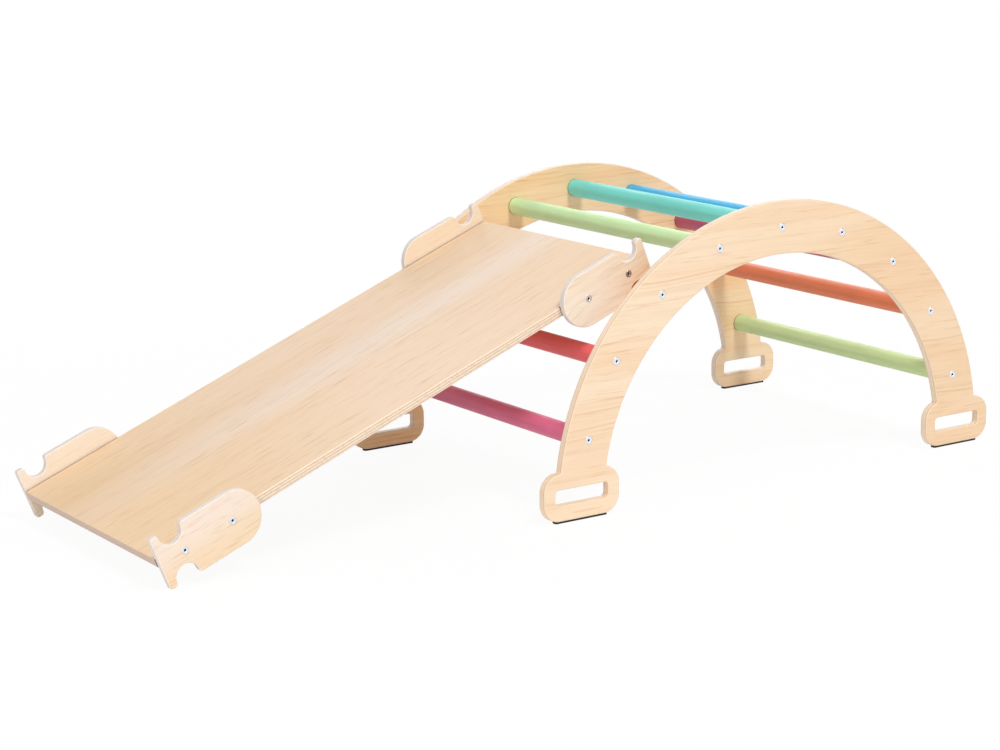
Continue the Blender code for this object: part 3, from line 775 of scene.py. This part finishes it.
def panelOutline(size):
    # Half of the panel from its top round one foot and back under the band, and the mirrored half.
    centre = (0.0, size["centreHeight"])
    inner = size["outerRadius"] - size["bandWidth"]
    outerTurn, outerFillet, outerCorner = shoulder(size["outerRadius"], 1, size)
    innerTurn, innerFillet, innerCorner = shoulder(inner, -1, size)
    radius, steps = size["footCorner"], size["cornerSteps"]
    left = size["footSpread"] / 2 - size["footLength"] / 2 + radius
    right = size["footSpread"] / 2 + size["footLength"] / 2 - radius
    upper, lower = size["footTop"] - radius, size["footBottom"] + radius
    parts = np.concatenate([
        arcPoints(centre, size["outerRadius"], quarter, outerTurn, size["arcSteps"]), outerFillet,
        arcPoints((right, upper), radius, outerCorner, 0.0, steps),
        arcPoints((right, lower), radius, 0.0, -quarter, steps),
        arcPoints((left, lower), radius, -quarter, -half, steps),
        arcPoints((left, upper), radius, half, half - innerCorner, steps), innerFillet[::-1],
        arcPoints(centre, inner, innerTurn, quarter, size["arcSteps"]),
    ])
    return closedOutline([parts, parts[::-1] * (-1.0, 1.0)])


def panelShell(size, screw, rungPlaces, rungRadius):
    # The outline with a slot in each foot, and for each rung a countersunk hole that widens, at the
    # back, into the socket that takes the rung's end.
    slotHeight = (size["footBottom"] + size["footTop"]) / 2
    slots = [roundedRectangle((side * size["footSpread"] / 2, slotHeight),
                              size["footLength"] / 2 - size["slotEndWall"], size["slotHeight"] / 2,
                              size["slotCorner"], size["slotSteps"]) for side in (1, -1)]
    seat = headSeat(screw, fitGap)
    socketFloor, socket = panelThickness - size["rungSocketDepth"], rungRadius + fitGap
    profile = seat + [(seat[-1][0], socketFloor), (socket, socketFloor), (socket, panelThickness)]
    holes = [(ringStack(profile, holeSteps, place), ("front", "back")) for place in rungPlaces]
    return plateShell(size, panelThickness, panelOutline(size), slots, holes)


rungCount = sum(node.startswith("rung_") and node.split("_")[1].isdigit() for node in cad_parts)
rungMiddles = [middleOf("rung_%d" % number) for number in range(1, rungCount + 1)]
rungRadius = sizeOf("rung_1")[2] / 2
rungHalfLength = sizeOf("rung_1")[1] / 2
rungPlaces = [(middle[0] - archMiddle, middle[2]) for middle in rungMiddles]
straight = np.eye(3)
panelSides = {"front": (straight, -outerFace), "back": (np.diag((1.0, -1.0, 1.0)), outerFace)}

sidePanel = panelShell(panel, rungScrew, rungPlaces, rungRadius)
for side, (axes, y) in panelSides.items():
    node = "side_panel_" + side
    middle = (archMiddle, y + math.copysign(panelThickness / 2, -y), archTop / 2)
    wood = plywood("plywood_" + node, panelWoods[side], middle, 0.0, False, panelThickness)
    makePiece(node + "_plywood", sidePanel, (axes, (archMiddle, y, 0.0)), "arch", wood, node)
print("side panels: %d corners each" % sum(faces.size for faces in sidePanel["faces"]))


# Rungs: turned dowels under matt paint

rung = {
    "steps": 80, "edge": 0.8 * mm,
    "paints": {                              # slot and colour, by the rung's number
        1: ("rung_pink", (228, 112, 152)), 2: ("rung_red", (238, 102, 106)),
        3: ("rung_orange", (222, 156, 96)), 4: ("rung_light_green", (206, 236, 176)),
        5: ("rung_teal", (122, 220, 210)), 6: ("rung_blue", (66, 184, 234)),
        7: ("rung_plum", (197, 90, 118)), 8: ("rung_orange", (232, 127, 83)),
        9: ("rung_light_green", (204, 228, 164)),
    },
    "darker": 0.93, "seedStep": 3.7,
    "brushScale": (260.0, 7.0, 260.0), "brushNoise": (4.0, 0.6), "brushRange": (0.42, 0.78),
    "brushShare": 0.55,
    "cloudScale": (14.0, 40.0), "cloudNoise": (2.0, 0.5), "cloudRange": (0.35, 0.75), "cloudShare": 0.45,
    # gapShade: painted shade in the gap where a rung goes into a panel
    "gapShade": (104, 76, 40), "gapShadeShare": 0.75, "gapShadeWidth": 2.0 * mm,
    "roughness": (0.44, 0.58), "bump": (0.3, 0.12 * mm),
}


def rungShell(size, screw):
    # From the floor of one end's bore out and round, along the dowel, and into the other end's bore.
    bore = screw["shank"] / 2 + fitGap
    floor = outerFace - screw["length"] - fitGap
    end, edge = rungHalfLength, size["edge"]
    first = [(bore, -floor), (bore, -end), (rungRadius - edge, -end), (rungRadius, -end + edge)]
    pairs = first + [(radius, -depth) for radius, depth in reversed(first)]
    shell = newShell()
    rings = addTurned(shell, ringStack(pairs, size["steps"]))
    addCap(shell, rings[0], (0.0, -1.0, 0.0))
    addCap(shell, rings[-1], (0.0, 1.0, 0.0))
    return shell


def paintMaterial(name, look, colour, origin, seed):
    # Matt paint: brushed along the dowel, with the wood's grain just standing through it, and a dark line of
    # painted shade where the dowel goes into the panels.
    material, tree, shader = newMaterial(name)
    x, y, z = localCoordinates(tree, origin, 0.0)
    brushed = noiseNode(pointNode(scaled((x, y, z), look["brushScale"])), *look["brushNoise"])
    cloud = noiseNode(pointNode([seed] + scaled((y, z), look["cloudScale"])), *look["cloudNoise"])
    dark = tuple(look["darker"] * value for value in colour)
    painted = mixNode(shareNode(brushed, look, "brush"), colour, dark)
    painted = mixNode(shareNode(cloud, look, "cloud"), painted, dark)
    # painted shade in the gap at each end, where the dowel goes into a panel
    outwards, width = mathNode("ABSOLUTE", y), look["gapShadeWidth"]
    gapShade = rangeNode(outwards, innerFace - width, innerFace - width / 2, 0.0, look["gapShadeShare"])
    painted = mixNode(gapShade, painted, look["gapShade"])
    finishSurface(shader, look, painted, brushed, brushed)
    return material


dowel = rungShell(rung, rungScrew)
for number, middle in enumerate(rungMiddles, start=1):
    slot, colour = rung["paints"][number]
    paint = paintMaterial("paint_rung_%d" % number, rung, colour, middle, rung["seedStep"] * number)
    makePiece("rung_%d_painted" % number, dowel, (straight, middle), "arch", paint, "rung_%d" % number)
print("rungs: %d" % rungCount)


# Screws through the panels

zinc = zincMaterial("zinc_plating", screwLook)
longScrew = screwShell(rungScrew, screwLook)
for side, (axes, y) in panelSides.items():
    for number, middle in enumerate(rungMiddles, start=1):
        node = "rung_screw_%s_%d" % (side, number)
        place = (axes, (middle[0], y, middle[2]))
        makePiece(node + "_zinc", longScrew, place, "arch", zinc, node)
print("rung screws: %d" % (2 * rungCount))


# Rubber pads under the feet

pad = {
    "corner": 3.5 * mm, "edgeRadius": 0.6 * mm, "edgeSteps": 3, "cornerSteps": 6,
    "black": (26, 24, 23), "dusty": (48, 45, 43),
    "grainScale": 700.0, "grainNoise": (4.0, 0.7), "grainRange": (0.45, 0.8),
    "roughness": (0.75, 0.85), "bump": (0.5, 0.1 * mm),
}


def padMaterial(look):
    # Black rubber, finely grained and a little dusty.
    material, tree, shader = newMaterial("black_rubber")
    grain = noiseNode(objectCoordinates(tree), *look["grainNoise"], look["grainScale"])
    colour = mixNode(shareNode(grain, look, "grain"), look["black"], look["dusty"])
    finishSurface(shader, look, colour, grain, grain)
    return material


rubber = padMaterial(pad)
padSize = sizeOf("foot_pad_front_far_end")
padOutline = roundedRectangle((0.0, 0.0), padSize[0] / 2, padSize[1] / 2, pad["corner"], pad["cornerSteps"])
padShell = plateShell(pad, padSize[2], padOutline)
lyingFlat = np.array(((1.0, 0.0, 0.0), (0.0, 0.0, 1.0), (0.0, 1.0, 0.0)))    # depth runs upwards
for node in sorted(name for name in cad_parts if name.startswith("foot_pad")):
    middle = middleOf(node)
    place = (lyingFlat, (middle[0], middle[1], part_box(node)[0].z))
    makePiece(node + "_rubber", padShell, place, "arch", rubber, node)
print("foot pads are on")


# Ramp: a board between four brackets

ramp = {
    "boardLength": 1000.0 * mm, "boardThickness": 16.0 * mm, "edgeRadius": 1.6 * mm, "boardCorner": 2.0 * mm,
    "screwFromEnd": 46.1 * mm, "screwSpacing": 89.2 * mm, "edgeSteps": 4, "cornerSteps": 5,
}
bracket = {
    "length": 187.0 * mm, "height": 92.0 * mm, "edgeRadius": 1.8 * mm, "edgeSteps": 5,
    "hornWidth": 14.8 * mm, "hornCorner": 5.2 * mm, "notchRadius": 19.8 * mm, "notchLip": 6.3 * mm,
    "mouthRadius": 6.0 * mm, "roundSteps": 24, "notchSteps": 40, "cornerSteps": 8,
}
boardWood = dict(
    plyLook, seed=31.0, pale=(233, 202, 165), warm=(227, 194, 153),
    line=(206, 166, 124), lineShare=0.2, fleck=(198, 156, 112),
    upper=(237, 210, 183), upperWarm=(232, 203, 172), upperRange=(0.0, 0.5), drift=0.5, climb=(1.0, 0.0),
    # band: a pale, cool band of painted sheen along the middle of the board
    head=(229, 200, 168), headRange=(0.6, 1.0), band=(234, 222, 214), bandMiddle=0.035, bandDrift=0.06,
    bandHalf=0.10, bandRange=(0.0, 0.5), bandShares=(0.2, 0.45),
    lines=90.0, bend=3.0, bendScale=(0.4, 5.0), fadeScale=(5.0, 60.0), toneScale=(0.55, 6.0),
    streakScale=(1.6, 45.0), streakShare=0.16, fibreShare=0.14,
    fleckScale=(15.0, 280.0), fleckRange=(0.55, 0.74), fleckShare=0.5,
    plies=7, longPly=(255, 240, 216), endPly=(236, 206, 180), glue=(190, 146, 116), glueShare=0.65,
    rim=(246, 220, 190), rimDepth=0.9, endShare=0.85, seamShare=0.0,
    # gapShade: painted shade in the gap between the board and the brackets
    gapShade=(92, 54, 22), gapShadeMiddle=ramp["boardLength"] / 2, gapShadeFade=1.0 * mm, gapShadeSoft=0.5 * mm,
    gapShadeEnds=ramp["boardLength"] / 2 - bracket["length"], gapShadeFrom=boardHalfWidth - 3.0 * mm,
)
bracketWood = dict(
    plyLook, line=(226, 178, 136), fleck=(206, 150, 112), lines=130.0, bend=6.0, bendScale=(3.0, 9.0),
    toneScale=(3.0, 14.0), fleckScale=(26.0, 330.0), fleckShare=0.5,
    plies=7, longPly=(236, 226, 220), endPly=(218, 208, 203), glue=(186, 168, 156), glueShare=0.3,
    rim=(250, 236, 224), rimDepth=1.0,
)
backBracketWood = dict(bracketWood, fleckShare=0.12, lineShare=0.12, streakShare=0.1)
bracketLooks = {
    "lower_front": dict(
        bracketWood, seed=41.0, pale=(250, 231, 214), warm=(249, 228, 208), upper=(249, 224, 192),
        upperWarm=(248, 220, 184), upperRange=(-0.02, 0.05), drift=0.06, climb=(0.1, -1.0),
        line=(234, 194, 152), lineShare=0.3, fleck=(232, 190, 150), fleckRange=(0.53, 0.74), fleckShare=0.6,
    ),
    "upper_front": dict(
        # its upper tones are painted shade: browner towards its lower right, beside the panel
        bracketWood, seed=43.0, pale=(254, 240, 222), warm=(252, 232, 208), upper=(232, 200, 158),
        upperWarm=(212, 174, 128), upperRange=(-0.05, 0.06), drift=0.06, climb=(0.7, -1.0),
        line=(206, 164, 118), lineShare=0.9, lines=110.0, bend=7.0, bendScale=(11.0, 9.0),
        fadeScale=(12.0, 60.0), patchRange=(0.36, 0.56), fleck=(214, 166, 124), fleckShare=0.25,
    ),
    "lower_back": dict(backBracketWood, seed=42.0, pale=(248, 235, 218), warm=(248, 232, 210)),
    "upper_back": dict(backBracketWood, seed=44.0, pale=(250, 234, 214), warm=(250, 230, 204)),
}

boardFoot = firstRampScrew * (1.0, 0.0, 1.0) - upSlope * ramp["screwFromEnd"]
boardHead = boardFoot + upSlope * ramp["boardLength"]
screwPlaces = [ramp["screwFromEnd"] + step * ramp["screwSpacing"] for step in (0, 1)]    # from an end


def boardShell(size, screw):
    # The board's long section carried across its width, with blind bores for the screws in both sides.
    length, width = size["boardLength"], 2 * boardHalfWidth
    outline = roundedRectangle((length / 2, 0.0), length / 2, size["boardThickness"] / 2,
                               size["boardCorner"], size["cornerSteps"])
    bore = screw["shank"] / 2 + fitGap
    floor = screw["length"] + fitGap - (bracketOuterFace - boardHalfWidth)
    holes = []
    for along in screwPlaces:
        for x in (along, length - along):
            holes.append((ringStack([(bore, 0.0), (bore, floor)], boreSteps, (x, 0.0)), ("front",)))
            holes.append((ringStack([(bore, width - floor), (bore, width)], boreSteps, (x, 0.0)), ("back",)))
    return plateShell(size, width, outline, holes=holes)


def bracketOutline(size):
    # From the round end along the top, down into the notch and up its horn, and the mirrored half.
    height, mouth, horn = size["height"] / 2, size["mouthRadius"], size["hornWidth"]
    corner, steps = size["hornCorner"], size["cornerSteps"]
    near, far = horn, horn + 2 * size["notchRadius"]
    hornMouth = min(mouth, horn - corner)
    parts = np.concatenate([
        arcPoints((size["length"] - height, 0.0), height, 0.0, quarter, size["roundSteps"]),
        arcPoints((far + mouth, height - mouth), mouth, quarter, half, steps),
        arcPoints((near + size["notchRadius"], height - size["notchLip"]), size["notchRadius"],
                  0.0, -half, size["notchSteps"]),
        arcPoints((near - hornMouth, height - hornMouth), hornMouth, 0.0, quarter, steps),
        arcPoints((corner, height - corner), corner, quarter, half, steps),
    ])
    return closedOutline([parts, parts[::-1] * (1.0, -1.0)])


def bracketShell(size, screw):
    # The outline with two countersunk holes right through.
    seat = headSeat(screw, fitGap)
    profile = seat + [(seat[-1][0], bracketThickness)]
    holes = [(ringStack(profile, holeSteps, (x, 0.0)), ("front", "back")) for x in screwPlaces]
    return plateShell(size, bracketThickness, bracketOutline(size), holes=holes)


def slopeAxes(along, y):
    # A plate's axes on the ramp: x up or down the slope, depth from the outer face inwards.
    return np.stack([along * upSlope, (0.0, -math.copysign(1.0, y), 0.0), squareToSlope])


boardPly = plywood("plywood_board", boardWood, boardFoot, slope, True, ramp["boardThickness"])
boardPlace = (slopeAxes(1, -boardHalfWidth), boardFoot + (0.0, -boardHalfWidth, 0.0))
boardPlate = boardShell(ramp, rampScrew)
makePiece("ramp_board_plywood", boardPlate, boardPlace, "ramp", boardPly, "ramp_board")

bracketPlate = bracketShell(bracket, rampScrew)
shortScrew = screwShell(rampScrew, screwLook)
zincPaintedShade = {                               # darker copies of the plating, by screw number: painted shade and dark reflection of the panel
    1: zincMaterial("zinc_painted_shade_1", dict(screwLook, zinc=(196, 192, 188), shade=(140, 132, 126))),
    2: zincMaterial("zinc_painted_shade_2", dict(screwLook, zinc=(236, 240, 244), shade=(184, 190, 196))),
}
for end, start, along in (("lower", boardFoot, 1), ("upper", boardHead, -1)):
    for side, y in (("front", -bracketOuterFace), ("back", bracketOuterFace)):
        axes, corner = slopeAxes(along, y), start + (0.0, y, 0.0)
        middle = corner + axes[1] * bracketThickness / 2
        spot = end + "_" + side
        node = "ramp_bracket_" + spot
        wood = plywood("plywood_" + node, bracketLooks[spot], middle, slope, False, bracketThickness)
        makePiece(node + "_plywood", bracketPlate, (axes, corner), "ramp", wood, node)
        for number, reach in enumerate(screwPlaces, start=1):
            node = "ramp_screw_%s_%d" % (spot, number)
            # the upper front bracket's screws take the plating with painted shade and reflection
            plating = zincPaintedShade[number] if spot == "upper_front" else zinc
            place = (axes, corner + axes[0] * reach)
            makePiece(node + "_zinc", shortScrew, place, "ramp", plating, node)
print("ramp: board, brackets and screws")
